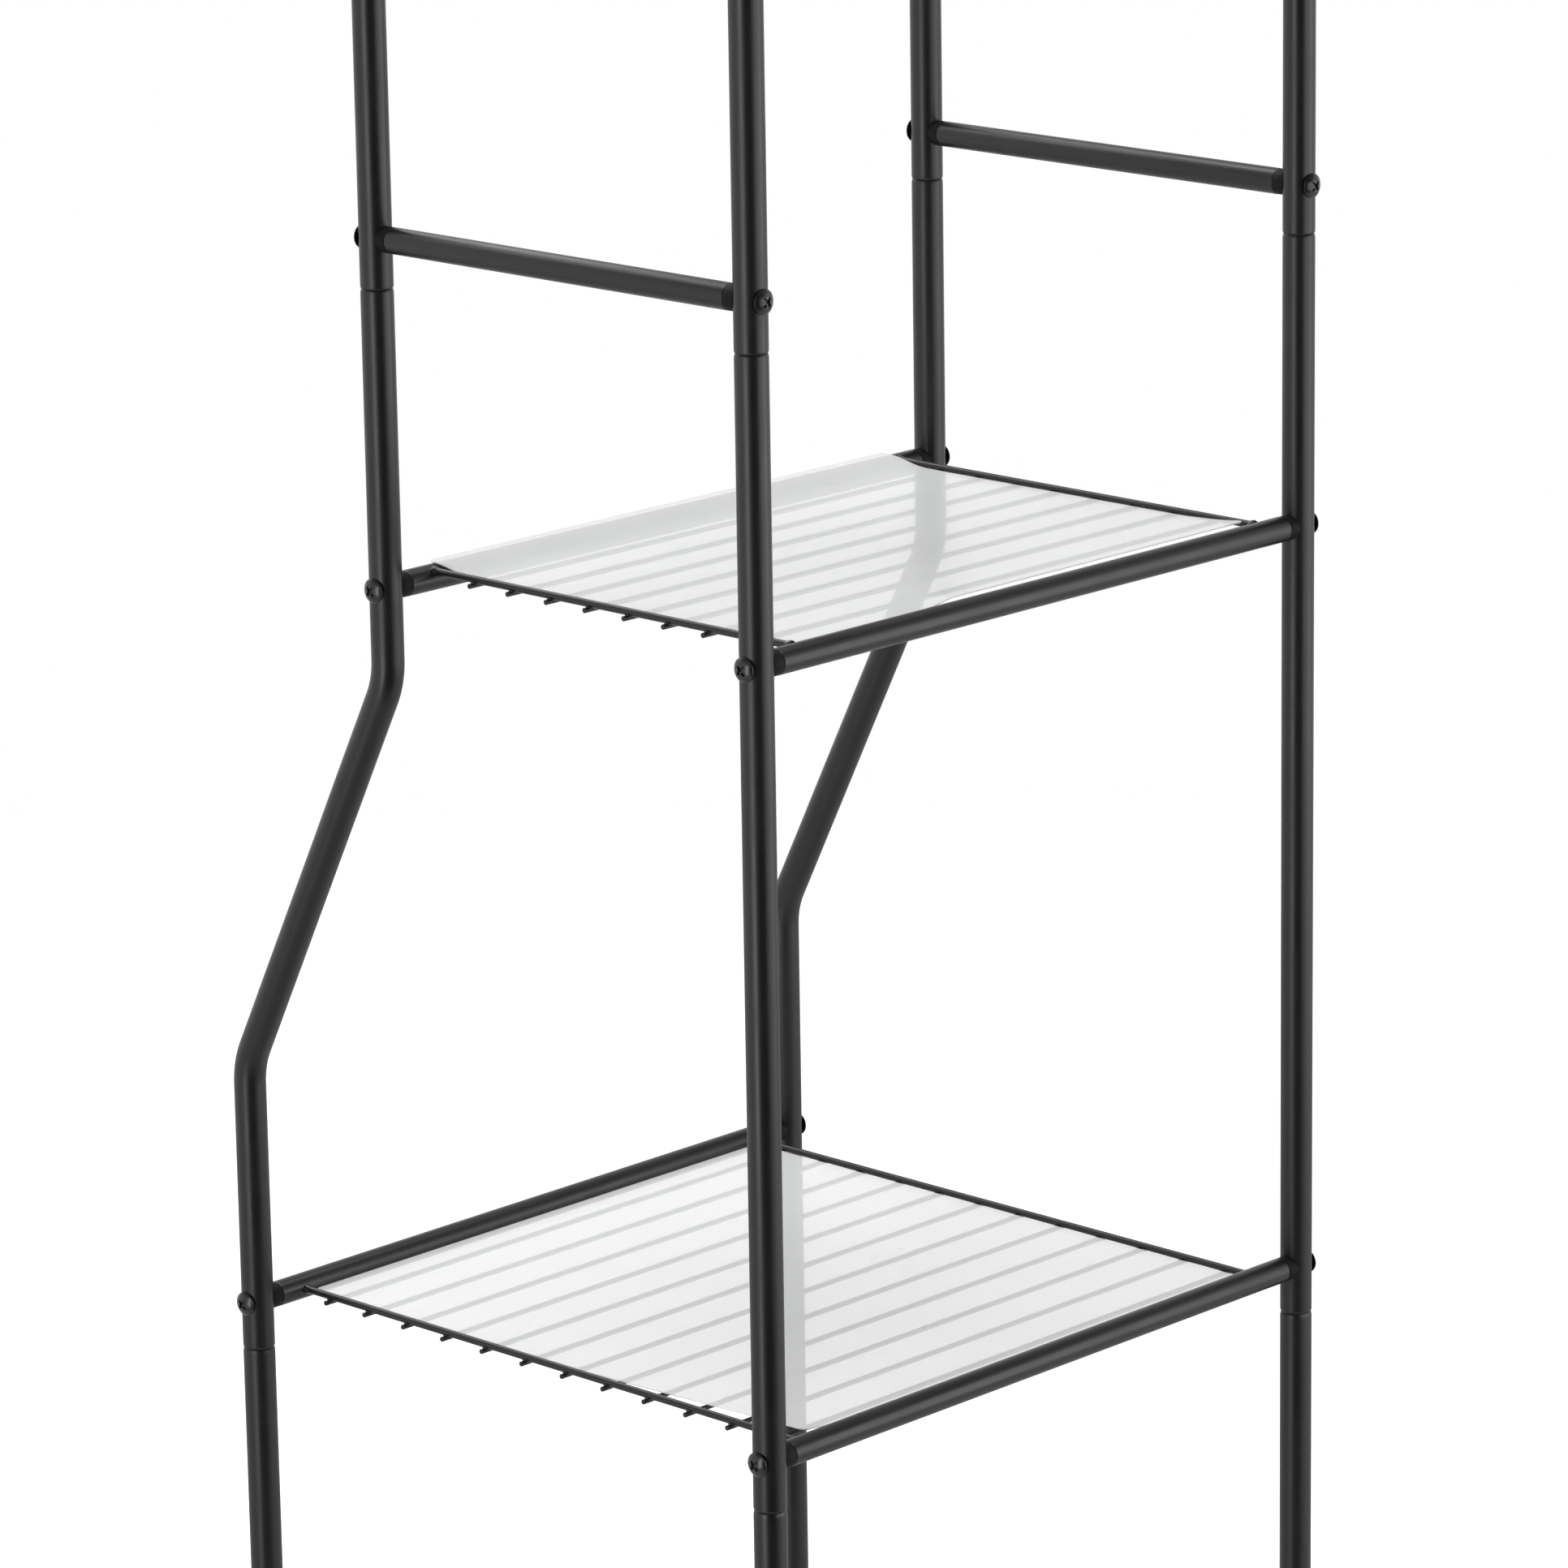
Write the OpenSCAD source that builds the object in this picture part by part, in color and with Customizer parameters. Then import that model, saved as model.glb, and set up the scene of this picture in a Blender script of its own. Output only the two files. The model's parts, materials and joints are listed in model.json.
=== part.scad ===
/* [Overall] */
// Distance between the left and right post axes
rack_width = 480; // [380:1:620]
// Distance between the front and rear leg axes, at the lower shelf and below
lower_depth = 444; // [360:1:520]
// Distance between the front and rear post axes, at the upper and top shelves
upper_depth = 307; // [220:1:340]
// Height of the lower shelf's rail axes above the floor
lower_shelf_z = 780; // [600:1:900]
// Rise from one shelf to the next
shelf_pitch = 478; // [400:1:580]
// Length of the posts above the top shelf's rail axes
post_above_top = 48; // [30:1:120]

/* [Tubes] */
// Diameter of the posts and legs
post_d = 20; // [18:0.5:24]
// Wall of the posts and legs
post_wall = 1.2; // [0.8:0.1:1.5]
// Diameter of the shelf rails and side bars
rail_d = 16; // [13:0.5:17]
// Wall of the shelf rails and side bars
rail_wall = 1; // [0.8:0.1:1.3]

/* [Bends] */
// Drop of the upper bend's corner below the upper shelf
upper_bend_drop = 57; // [48:1:70]
// Rise of the lower bend's corner above the lower shelf
lower_bend_rise = 155; // [100:1:170]
// Radius of each bend, to the tube's centre line
bend_r = 55; // [40:1:80]

/* [Post joints] */
// Length of the narrowed end that plugs into the tube above
neck_len = 25; // [15:1:40]
// Gap all round the narrowed end
neck_gap = 0.15; // [0.1:0.05:0.3]
// Height of the rounded shoulder under the narrowed end
shoulder_h = 3.6; // [1:0.1:5]
// Width of the rounded shoulder
shoulder_w = 1; // [0.4:0.1:1]
// Distance from the tip of a narrowed end to the screw above it
neck_to_screw = 5; // [4:1:40]

/* [Shelves] */
// Diameter of the thick wire across each end of a shelf
end_wire_d = 4.6; // [3:0.1:6]
// Diameter of the thin wires that carry the liner
wire_d = 3.2; // [2.5:0.1:4.5]
// Distance of each end wire from the post axes
end_wire_inset = 35; // [28:1:60]
// Length of each thin wire past the end wires
wire_stub = 2.5; // [2:0.5:8]
// Spacing of the thin wires on the lower shelf
lower_wire_pitch = 35; // [28:1:45]
// Spacing of the thin wires on the upper and top shelves
upper_wire_pitch = 32.4; // [25:0.2:45]
// Smallest distance from a rail's axis to the nearest thin wire
wire_margin = 26; // [20:1:34]
// Height of the end wires above the rail axes, lower shelf
lower_wire_lift = 0; // [-3:0.5:5]
// Height of the end wires above the rail axes, upper and top shelves
upper_wire_lift = 5; // [0:0.5:5.5]

/* [Liners] */
// Thickness of the frosted liner sheets
liner_t = 1; // [0.6:0.1:2]
// Gap under and round a liner
liner_gap = 0.3; // [0.2:0.05:0.6]
// Gap between a liner's ends and the end wires
liner_end_gap = 2; // [0.5:0.5:6]
// Gap between a liner's long edge and the rear rail
liner_edge_gap = 1.5; // [0.5:0.5:6]
// Length over which an upper liner climbs on to the front rail
lap_run = 34; // [26:1:60]
// How far the lap reaches past the front rail's axis
lap_reach = 5; // [0:0.5:8]

/* [Side bars] */
// Height of the side bars above the upper shelf
side_bar_rise = 212; // [120:1:260]
// Height of the low side bars above the floor
low_bar_z = 130; // [80:1:300]
// Height of the low rear bar above the low side bars
rear_bar_step = 40; // [24:1:120]

/* [Fasteners] */
// Diameter of the screw shanks
screw_d = 6; // [4:0.5:6]
// Gap all round a screw shank
screw_gap = 0.25; // [0.15:0.05:0.4]
// Diameter of the domed screw heads
head_d = 15; // [12:0.5:16]
// Height of the domed screw heads
head_h = 3.6; // [2.5:0.1:5]
// Width of one arm of the cross recess
recess_w = 1.5; // [1:0.1:2]
// Length across the cross recess
recess_l = 7; // [5:0.5:8]
// Depth of the cross recess
recess_depth = 2; // [1.5:0.1:2.3]
// Length of screw thread in an end plug
screw_bite = 17; // [12:1:22]

/* [End plugs] */
// Plastic that shows between a post and a rail
plug_show = 5; // [3:0.5:9]
// Length of a plug inside its rail
plug_stem = 20; // [16:1:30]
// Gap between a plug and the tubes that it fits
plug_gap = 0.1; // [0.05:0.05:0.2]

/* [Caps and feet] */
// Height of the dome on a top cap
cap_h = 7; // [4:0.5:9]
// Length of a cap or foot socket inside its tube
insert_len = 22; // [16:1:34]
// Thickness of the rim under a leg
rim_t = 3; // [2:0.5:6]
// Diameter of a foot's pad
pad_d = 26; // [22:1:30]
// Height of a foot's pad
pad_h = 7; // [5:0.5:10]
// Diameter of a foot's threaded stem
stem_d = 8; // [6:0.5:9]
// Gap between a foot and its socket
foot_gap = 0.3; // [0.25:0.05:0.5]

/* [Hidden] */

$fn = 64;

LEFT = -1;
RIGHT = 1;
POST_COLOR = "#1c1c1d";
WIRE_COLOR = "#202021";
PLASTIC_COLOR = "#0c0c0c";
SCREW_COLOR = "#161616";
LINER_COLOR = "#eef0f0";

post_r = post_d / 2;
bore_r = post_r - post_wall;
rail_r = rail_d / 2;
rail_bore_r = rail_r - rail_wall;
screw_r = screw_d / 2;
hole_r = screw_r + screw_gap;

half_w = rack_width / 2;
rear_y = lower_depth / 2;
front_y = -lower_depth / 2;
upper_front_y = rear_y - upper_depth;

upper_shelf_z = lower_shelf_z + shelf_pitch;
top_shelf_z = upper_shelf_z + shelf_pitch;
side_bar_z = upper_shelf_z + side_bar_rise;
rear_bar_z = low_bar_z + rear_bar_step;

leg_bottom_z = pad_h + foot_gap + rim_t;
lower_joint_z = lower_shelf_z - neck_len - neck_to_screw;
upper_joint_z = side_bar_z - neck_len - neck_to_screw;
post_top_z = top_shelf_z + post_above_top;

upper_bend_z = upper_shelf_z - upper_bend_drop;
lower_bend_z = lower_shelf_z + lower_bend_rise;
bend_angle = atan2(upper_front_y - front_y, upper_bend_z - lower_bend_z);
bend_tangent = bend_r * tan(bend_angle / 2);
slope_len = norm([upper_front_y - front_y, upper_bend_z - lower_bend_z]) - 2 * bend_tangent;
low_straight = lower_bend_z - bend_tangent - lower_joint_z;
high_straight = upper_joint_z - shoulder_h - upper_bend_z - bend_tangent;
bend_lap = 0.8;
bend_thin = 0.05;

end_wire_x = half_w - end_wire_inset;
end_wire_r = end_wire_d / 2;
wire_r = wire_d / 2;
liner_half_w = end_wire_x - end_wire_r - liner_end_gap;
slice = 1;

// One tube that stands along Z, from z0 to z1
module tube_z(z0, z1, outer_r, inner_r) {
    difference() {
        translate([0, 0, z0]) cylinder(h = z1 - z0, r = outer_r);
        translate([0, 0, z0 - slice]) cylinder(h = z1 - z0 + 2 * slice, r = inner_r);
    }
}

// The narrowed end above a joint: rounded shoulder, plain neck, chamfered rim
module neck() {
    neck_r = bore_r - neck_gap;
    neck_bore_r = neck_r - post_wall;
    rim = 0.6;
    shoulder = [for (a = [0:15:90])
        [post_r - shoulder_w + shoulder_w * cos(a), -shoulder_h + shoulder_h * sin(a)]];
    rotate_extrude()
        polygon(concat(shoulder, [
            [neck_r, 0],
            [neck_r, neck_len - rim],
            [neck_r - rim, neck_len],
            [neck_bore_r, neck_len],
            [neck_bore_r, 0],
            [bore_r, -shoulder_h]
        ]));
}

module hole_x(z) {
    translate([-post_d, 0, z]) rotate([0, 90, 0]) cylinder(h = 2 * post_d, r = hole_r);
}

module hole_y(z) {
    translate([0, -post_d, z]) rotate([90, 0, 0]) mirror([0, 0, 1]) cylinder(h = 2 * post_d, r = hole_r);
}

// A straight leg or post at one corner, with cross holes for its screws
module straight_post(side, y, z0, z1, necked, x_holes, y_holes) {
    color(POST_COLOR)
    translate([side * half_w, y, 0])
    difference() {
        union() {
            tube_z(z0, necked ? z1 - shoulder_h : z1, post_r, bore_r);
            if (necked) translate([0, 0, z1]) neck();
        }
        for (z = x_holes) hole_x(z);
        for (z = y_holes) hole_y(z);
    }
}

module leg(side, y) {
    straight_post(side, y, leg_bottom_z, lower_joint_z, true, y > 0 ? [rear_bar_z] : [], [low_bar_z]);
}

module rear_post(side) {
    straight_post(side, rear_y, lower_joint_z, upper_joint_z, true, [lower_shelf_z, upper_shelf_z], []);
}

module top_post(side, y) {
    straight_post(side, y, upper_joint_z, post_top_z, false, [top_shelf_z], [side_bar_z]);
}

// One straight end, carried from the middle of the slope to past its bend, where it runs along +Z
module past_bend() {
    translate([0, -bend_r, slope_len / 2])
        rotate([bend_angle, 0, 0]) translate([0, bend_r, 0]) children();
}

// A bend above the middle of the slope, and the straight end past it.
// The bend's own ends sit a hair inside the straight pieces, so that they join cleanly.
module bend_and_end(r, straight) {
    translate([0, -bend_r, slope_len / 2])
        rotate([90, 0, 90]) rotate([0, 0, -bend_lap])
            rotate_extrude(angle = bend_angle + 2 * bend_lap)
                translate([bend_r, 0]) circle(r = r - bend_thin);
    past_bend() cylinder(h = straight, r = r);
}

module bent_rod(r, extra) {
    cylinder(h = slope_len, r = r, center = true);
    bend_and_end(r, high_straight + extra);
    rotate([180, 0, 0]) bend_and_end(r, low_straight + extra);
}

// A front post: straight at both ends, with a slope between two bends
module front_post(side) {
    color(POST_COLOR)
    translate([side * half_w, 0, 0])
    difference() {
        translate([0, (front_y + upper_front_y) / 2, (lower_bend_z + upper_bend_z) / 2])
            rotate([-bend_angle, 0, 0])
                union() {
                    difference() {
                        bent_rod(post_r, 0);
                        bent_rod(bore_r, slice);
                    }
                    past_bend() translate([0, 0, high_straight + shoulder_h]) neck();
                }
        translate([0, front_y, 0]) hole_x(lower_shelf_z);
        translate([0, upper_front_y, 0]) hole_x(upper_shelf_z);
    }
}

// A rail or bar along +X that starts at the origin
module bar(len) {
    color(POST_COLOR)
    rotate([0, 90, 0])
    difference() {
        cylinder(h = len, r = rail_r);
        translate([0, 0, -slice]) cylinder(h = len + 2 * slice, r = rail_bore_r);
    }
}

bar_end = post_r + plug_show;

module shelf_rail(y, z) {
    translate([-half_w + bar_end, y, z]) bar(rack_width - 2 * bar_end);
}

module cross_bar(side, y0, y1, z) {
    translate([side * half_w, y0 + bar_end, z]) rotate([0, 0, 90]) bar(y1 - y0 - 2 * bar_end);
}

// An end plug along +X for a bar whose post stands on the origin
module end_plug() {
    color(PLASTIC_COLOR)
    difference() {
        rotate([0, 90, 0]) union() {
            cylinder(h = bar_end, r = rail_r);
            translate([0, 0, bar_end]) cylinder(h = plug_stem, r = rail_bore_r - plug_gap);
        }
        cylinder(h = 2 * post_d, r = post_r + plug_gap, center = true);
        rotate([0, 90, 0]) cylinder(h = bar_end + plug_stem + slice, r = screw_r + plug_gap);
    }
}

// A cross-recessed truss-head screw along +X through a post on the origin
module screw() {
    edge_h = 0.6;
    dome_r = (pow(head_d / 2, 2) + pow(head_h - edge_h, 2)) / (2 * (head_h - edge_h));
    dome_a = asin(head_d / 2 / dome_r);
    dome = [for (i = [0:8])
        let (a = dome_a * (1 - i / 8))
        [dome_r * sin(a), head_h - dome_r + dome_r * cos(a)]];
    color(SCREW_COLOR)
    translate([-post_r, 0, 0]) rotate([0, -90, 0])
    difference() {
        union() {
            rotate_extrude() polygon(concat([[0, 0], [head_d / 2, 0]], dome));
            translate([0, 0, -post_d - plug_show - screw_bite])
                cylinder(h = post_d + plug_show + screw_bite, r = screw_r);
        }
        for (a = [45, 135])
            rotate([0, 0, a])
                translate([-recess_l / 2, -recess_w / 2, head_h - recess_depth])
                    cube([recess_l, recess_w, recess_depth + slice]);
    }
}

// Puts a piece that points along +X at both ends of a shelf's rails
module at_rail_ends(depth_front_y, z) {
    for (side = [LEFT, RIGHT])
        for (y = [depth_front_y, rear_y])
            translate([side * half_w, y, z])
                rotate([0, 0, side == LEFT ? 0 : 180]) children();
}

// Puts a piece that points along +X at both ends of a pair of side bars
module at_bar_ends(y0, z) {
    for (side = [LEFT, RIGHT])
        for (y = [y0, rear_y])
            translate([side * half_w, y, z])
                rotate([0, 0, y == rear_y ? -90 : 90]) children();
}

// Puts a piece that points along +X at all ends of the three low bars
module at_low_bar_ends() {
    at_bar_ends(front_y, low_bar_z) children();
    for (side = [LEFT, RIGHT])
        translate([side * half_w, rear_y, rear_bar_z])
            rotate([0, 0, side == LEFT ? 0 : 180]) children();
}

// The welded wires of one shelf: two end wires, and thin wires under them
module wires(shelf_front_y, z, lift, pitch) {
    depth = rear_y - shelf_front_y;
    count = floor((depth - 2 * wire_margin) / pitch) + 1;
    middle_y = (rear_y + shelf_front_y) / 2;
    end_z = z + lift;
    thin_z = end_z - end_wire_r - wire_r + wire_r / 4;
    thin_len = 2 * (end_wire_x + end_wire_r + wire_stub);
    color(WIRE_COLOR)
    difference() {
        union() {
            for (side = [LEFT, RIGHT])
                translate([side * end_wire_x, shelf_front_y, end_z])
                    rotate([-90, 0, 0]) cylinder(h = depth, r = end_wire_r);
            for (i = [0:count - 1])
                translate([-thin_len / 2, middle_y + (i - (count - 1) / 2) * pitch, thin_z])
                    rotate([0, 90, 0]) cylinder(h = thin_len, r = wire_r);
        }
        for (y = [shelf_front_y, rear_y])
            translate([-half_w, y, z]) rotate([0, 90, 0]) cylinder(h = rack_width, r = rail_r);
    }
}

function liner_base(z, lift) = z + lift - end_wire_r + wire_r / 4 + liner_gap;

module sheet_along_x(outline) {
    color(LINER_COLOR)
    translate([-liner_half_w, 0, 0])
        rotate([90, 0, 90]) linear_extrude(height = 2 * liner_half_w) polygon(outline);
}

// A flat liner between the rails
module flat_liner(shelf_front_y, z, lift) {
    base = liner_base(z, lift);
    y0 = shelf_front_y + rail_r + liner_edge_gap;
    y1 = rear_y - rail_r - liner_edge_gap;
    sheet_along_x([[y0, base], [y1, base], [y1, base + liner_t], [y0, base + liner_t]]);
}

// A liner whose front edge climbs smoothly on to the front rail
module lapped_liner(shelf_front_y, z, lift) {
    base = liner_base(z, lift);
    climb = z + rail_r + liner_gap - base;
    y1 = rear_y - rail_r - liner_edge_gap;
    steps = 12;
    ramp = [for (i = [0:steps])
        let (t = i / steps)
        [shelf_front_y + lap_run * (1 - t), base + climb * t * t * (3 - 2 * t)]];
    under = concat([[y1, base]], ramp, [[shelf_front_y - lap_reach, base + climb]]);
    sheet_along_x(concat(under, [for (i = [len(under) - 1:-1:0]) under[i] + [0, liner_t]]));
}

module top_cap(side, y) {
    rim = 1;
    dome = [for (a = [0:10:90])
        [(post_r + 0.4) * cos(a), rim + (cap_h - rim) * sin(a)]];
    color(PLASTIC_COLOR)
    translate([side * half_w, y, post_top_z])
        rotate_extrude()
            polygon(concat([
                [0, -insert_len],
                [bore_r - plug_gap - 1, -insert_len],
                [bore_r - plug_gap, -insert_len + 2],
                [bore_r - plug_gap, 0],
                [post_r + 0.4, 0]
            ], dome));
}

module foot_socket(side, y) {
    color(PLASTIC_COLOR)
    translate([side * half_w, y, leg_bottom_z])
    difference() {
        union() {
            translate([0, 0, -rim_t]) cylinder(h = rim_t, r = post_r);
            cylinder(h = insert_len, r = bore_r - plug_gap);
        }
        translate([0, 0, -rim_t - slice])
            cylinder(h = rim_t + insert_len + 2 * slice, r = stem_d / 2 + foot_gap);
    }
}

module foot(side, y) {
    bevel = 1.5;
    neck_w = 3;
    stem_top = pad_h + foot_gap + rim_t + insert_len - 4;
    color(PLASTIC_COLOR)
    translate([side * half_w, y, 0])
        rotate_extrude()
            polygon([
                [0, 0],
                [pad_d / 2 - bevel / 2, 0],
                [pad_d / 2, bevel / 2],
                [pad_d / 2, pad_h - 2 * bevel],
                [pad_d / 2 - bevel, pad_h - bevel],
                [pad_d / 2 - neck_w - bevel, pad_h],
                [stem_d / 2, pad_h],
                [stem_d / 2, stem_top - 1],
                [stem_d / 2 - 1, stem_top],
                [0, stem_top]
            ]);
}

leg(LEFT, rear_y);  // leg_rear_left
leg(RIGHT, rear_y);  // leg_rear_right
leg(LEFT, front_y);  // leg_front_left
leg(RIGHT, front_y);  // leg_front_right
rear_post(LEFT);  // post_rear_left
rear_post(RIGHT);  // post_rear_right
front_post(LEFT);  // post_front_left
front_post(RIGHT);  // post_front_right
top_post(LEFT, rear_y);  // top_post_rear_left
top_post(RIGHT, rear_y);  // top_post_rear_right
top_post(LEFT, upper_front_y);  // top_post_front_left
top_post(RIGHT, upper_front_y);  // top_post_front_right

shelf_rail(front_y, lower_shelf_z);  // lower_rail_front
shelf_rail(rear_y, lower_shelf_z);  // lower_rail_rear
wires(front_y, lower_shelf_z, lower_wire_lift, lower_wire_pitch);  // lower_wires
flat_liner(front_y, lower_shelf_z, lower_wire_lift);  // lower_liner
shelf_rail(upper_front_y, upper_shelf_z);  // upper_rail_front
shelf_rail(rear_y, upper_shelf_z);  // upper_rail_rear
wires(upper_front_y, upper_shelf_z, upper_wire_lift, upper_wire_pitch);  // upper_wires
lapped_liner(upper_front_y, upper_shelf_z, upper_wire_lift);  // upper_liner
shelf_rail(upper_front_y, top_shelf_z);  // top_rail_front
shelf_rail(rear_y, top_shelf_z);  // top_rail_rear
wires(upper_front_y, top_shelf_z, upper_wire_lift, upper_wire_pitch);  // top_wires
lapped_liner(upper_front_y, top_shelf_z, upper_wire_lift);  // top_liner

cross_bar(LEFT, upper_front_y, rear_y, side_bar_z);  // side_bar_left
cross_bar(RIGHT, upper_front_y, rear_y, side_bar_z);  // side_bar_right
cross_bar(LEFT, front_y, rear_y, low_bar_z);  // low_side_bar_left
cross_bar(RIGHT, front_y, rear_y, low_bar_z);  // low_side_bar_right
shelf_rail(rear_y, rear_bar_z);  // low_rear_bar

at_rail_ends(front_y, lower_shelf_z) end_plug();  // lower_rail_plugs
at_rail_ends(upper_front_y, upper_shelf_z) end_plug();  // upper_rail_plugs
at_rail_ends(upper_front_y, top_shelf_z) end_plug();  // top_rail_plugs
at_bar_ends(upper_front_y, side_bar_z) end_plug();  // side_bar_plugs
at_low_bar_ends() end_plug();  // low_bar_plugs
at_rail_ends(front_y, lower_shelf_z) screw();  // lower_rail_screws
at_rail_ends(upper_front_y, upper_shelf_z) screw();  // upper_rail_screws
at_rail_ends(upper_front_y, top_shelf_z) screw();  // top_rail_screws
at_bar_ends(upper_front_y, side_bar_z) screw();  // side_bar_screws
at_low_bar_ends() screw();  // low_bar_screws

top_cap(LEFT, rear_y);  // top_cap_rear_left
top_cap(RIGHT, rear_y);  // top_cap_rear_right
top_cap(LEFT, upper_front_y);  // top_cap_front_left
top_cap(RIGHT, upper_front_y);  // top_cap_front_right
foot_socket(LEFT, rear_y);  // foot_socket_rear_left
foot_socket(RIGHT, rear_y);  // foot_socket_rear_right
foot_socket(LEFT, front_y);  // foot_socket_front_left
foot_socket(RIGHT, front_y);  // foot_socket_front_right
foot(LEFT, rear_y);  // foot_rear_left
foot(RIGHT, rear_y);  // foot_rear_right
foot(LEFT, front_y);  // foot_front_left
foot(RIGHT, front_y);  // foot_front_right
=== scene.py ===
import json
import math

import bmesh
import bpy
import numpy as np
from mathutils import Matrix, Vector


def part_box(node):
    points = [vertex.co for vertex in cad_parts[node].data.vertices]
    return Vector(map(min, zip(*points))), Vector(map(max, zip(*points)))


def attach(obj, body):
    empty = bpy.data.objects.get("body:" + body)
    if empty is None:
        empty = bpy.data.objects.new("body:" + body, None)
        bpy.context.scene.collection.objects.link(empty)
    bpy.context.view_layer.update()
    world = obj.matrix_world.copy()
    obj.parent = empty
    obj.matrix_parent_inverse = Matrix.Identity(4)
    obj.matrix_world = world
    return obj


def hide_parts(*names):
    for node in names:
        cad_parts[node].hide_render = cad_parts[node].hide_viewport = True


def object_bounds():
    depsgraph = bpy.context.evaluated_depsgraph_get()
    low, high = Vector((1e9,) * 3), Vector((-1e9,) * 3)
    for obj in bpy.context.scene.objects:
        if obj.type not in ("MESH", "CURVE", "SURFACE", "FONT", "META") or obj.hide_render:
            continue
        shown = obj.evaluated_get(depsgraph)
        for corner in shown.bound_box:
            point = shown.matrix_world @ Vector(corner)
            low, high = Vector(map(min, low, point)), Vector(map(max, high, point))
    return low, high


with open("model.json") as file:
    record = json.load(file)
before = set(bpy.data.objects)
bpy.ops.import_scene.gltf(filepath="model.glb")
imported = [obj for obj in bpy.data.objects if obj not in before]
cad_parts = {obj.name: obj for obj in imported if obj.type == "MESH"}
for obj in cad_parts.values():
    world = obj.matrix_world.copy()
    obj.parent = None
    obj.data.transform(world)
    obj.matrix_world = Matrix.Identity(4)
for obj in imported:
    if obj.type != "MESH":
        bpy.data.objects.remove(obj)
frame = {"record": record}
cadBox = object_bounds()
print("frame loaded")

mm = 0.001
sharpAngle = 38       # degrees between two faces, above which their edge is drawn sharp
mergeDistance = 0.0001 * mm


def toLinear(colour):
    # An sRGB hex colour as linear red, green, blue and a full alpha
    parts = [int(colour[i:i + 2], 16) / 255 for i in (1, 3, 5)]
    return [c / 12.92 if c <= 0.04045 else ((c + 0.055) / 1.055) ** 2.4 for c in parts] + [1]


def addNode(tree, kind, inputs=None, **settings):
    # Adds a node: an input given as a socket is linked, any other value is set on it
    node = tree.nodes.new(kind)
    for name, value in settings.items():
        setattr(node, name, value)
    for name, value in (inputs or {}).items():
        if isinstance(value, bpy.types.NodeSocket):
            tree.links.new(value, node.inputs[name])
        else:
            node.inputs[name].default_value = value
    return node


driftMm = 38         # how far apart a coat's glossier and duller patches lie
bumpDepth = 0.1 * mm


def coated(name, colours, roughness, grainMm, bump, **shader):
    # A surface with a fine grain: two close tones, a slow drift in gloss and a small bump
    material = bpy.data.materials.new(name)
    material.use_nodes = True
    tree = material.node_tree
    principled = tree.nodes["Principled BSDF"]
    place = addNode(tree, "ShaderNodeTexCoord").outputs["Object"]
    grain = addNode(tree, "ShaderNodeTexNoise", {
        "Vector": place, "Scale": 1 / (grainMm * mm), "Detail": 3})
    drift = addNode(tree, "ShaderNodeTexNoise", {
        "Vector": place, "Scale": 1 / (driftMm * mm), "Detail": 2})
    tone = addNode(tree, "ShaderNodeMix", {
        "Factor": grain.outputs["Fac"], "A": toLinear(colours[0]), "B": toLinear(colours[1])},
        data_type="RGBA")
    gloss = addNode(tree, "ShaderNodeMapRange", {
        "Value": drift.outputs["Fac"], "From Min": 0.3, "From Max": 0.7,
        "To Min": roughness[0], "To Max": roughness[1]})
    relief = addNode(tree, "ShaderNodeBump", {
        "Height": grain.outputs["Fac"], "Strength": bump, "Distance": bumpDepth})
    tree.links.new(tone.outputs["Result"], principled.inputs["Base Color"])
    tree.links.new(gloss.outputs["Result"], principled.inputs["Roughness"])
    tree.links.new(relief.outputs["Normal"], principled.inputs["Normal"])
    for socket, value in shader.items():
        principled.inputs[socket.replace("_", " ")].default_value = value
    return material


# Polyester powder coat baked on steel tube: satin near-black, long soft highlights, faint orange peel.
# Real orange peel is under 1 mm across, and is drawn at 1.4 mm so that it shows.
powderCoat = coated(
    "satin_black_powder_coated_steel", ("#101010", "#161616"), (0.32, 0.40), 1.4, 0.10, IOR=1.5)

# The same coat on welded wire: it pulls thin on small radii, so it is a little glossier and smoother
wireCoat = coated(
    "satin_black_powder_coated_wire", ("#111112", "#171718"), (0.30, 0.38), 1.2, 0.08, IOR=1.5)

# Injection-moulded black polypropylene with a spark-eroded texture: matt, and darker than the tubes
plugPlastic = coated(
    "moulded_black_polypropylene", ("#040404", "#070707"), (0.60, 0.70), 0.8, 0.16,
    IOR=1.49, Specular_IOR_Level=0.22)

# Black thermoplastic rubber under the feet: soft, dull, slightly grey
footRubber = coated(
    "moulded_black_thermoplastic_rubber", ("#101010", "#181818"), (0.6, 0.72), 0.9, 0.2, IOR=1.5)

# Cold-headed steel screws in black electrophoretic lacquer: smooth with a soft grey shine on the dome
screwLacquer = coated(
    "black_lacquered_steel", ("#101010", "#161616"), (0.20, 0.28), 1.0, 0.05, IOR=1.55)


print("materials made")


def arcRun(centre, radii, start, stop, count=7):
    # Points of an ellipse's arc: centre + radii * (cos a, sin a), a in degrees from start to stop
    a = np.radians(np.linspace(start, stop, count))
    return np.column_stack([centre[0] + radii[0] * np.cos(a), centre[1] + radii[1] * np.sin(a)])


def straightLine(start, end):
    # The line from start to end: centre = start + s * along, with two directions square to it
    start, end = np.array(start, float), np.array(end, float)
    along = (end - start) / np.linalg.norm(end - start)
    side = np.array([1.0, 0, 0]) if abs(along[0]) < 0.5 else np.array([0, 1.0, 0])
    up = np.cross(along, side)

    def line(s):
        return start + s[:, None] * along, np.tile(side, (len(s), 1)), np.tile(up, (len(s), 1))
    return line


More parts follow.
